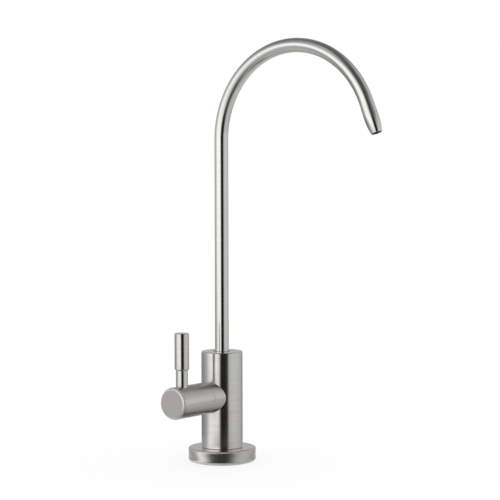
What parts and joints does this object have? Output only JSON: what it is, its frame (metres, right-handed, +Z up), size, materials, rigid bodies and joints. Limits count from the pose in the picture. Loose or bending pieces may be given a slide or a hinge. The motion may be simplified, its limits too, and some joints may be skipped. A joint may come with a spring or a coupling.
{
  "type": "drinking water faucet",
  "caption": "Tall swan-neck drinking water faucet with a swivelling spout, an upright cylindrical body on a round flange, and a quarter-turn lever valve at the side.",
  "frame": {"origin": "on the body's axis at the deck, in the mouth of the inlet thread under the body", "axes": "+Z up along the body's axis, spout towards -Y, valve and lever on the -X side"},
  "size_m": [0.0805, 0.1625, 0.3041],
  "materials": {
    "turned_steel": "stainless steel, brushed round the turning axis",
    "satin_tube": "stainless steel tube, brushed satin along its length",
    "screw_steel": "plain stainless steel",
    "turned_brass": "turned, uncoated",
    "black_rubber": "matt",
    "dark_plastic": "moulded acetal",
    "white_ceramic": "lapped alumina ceramic"
  },
  "bodies": {
    "base": {"faucet_body": "turned_steel", "base_flange": "turned_steel", "base_gasket": "black_rubber", "valve_housing": "turned_steel", "cartridge_body": "turned_brass", "cartridge_o_ring": "black_rubber", "seat_seal": "black_rubber", "fixed_disc": "white_ceramic", "thrust_washer": "dark_plastic", "spout_bush": "dark_plastic", "spout_screw": "screw_steel"},
    "spout": {"spout_tube": "satin_tube", "spout_ferrule": "turned_brass", "spout_o_ring_upper": "black_rubber", "spout_o_ring_lower": "black_rubber"},
    "handle": {"handle_hub": "turned_steel", "lever": "turned_steel", "handle_screw": "screw_steel", "spindle": "turned_brass", "moving_disc": "white_ceramic", "spindle_o_ring_inner": "black_rubber", "spindle_o_ring_outer": "black_rubber", "spindle_circlip": "screw_steel"}
  },
  "joints": [
    {"name": "spout_swivel", "type": "hinge", "parent": "base", "child": "spout", "pos_m": [0, 0, 0.07], "axis": [0, 0, 1], "continuous": true},
    {"name": "handle_turn", "type": "hinge", "parent": "base", "child": "handle", "pos_m": [-0.04, 0, 0.0479], "axis": [1, 0, 0], "range_deg": [0, 90]}
  ]
}
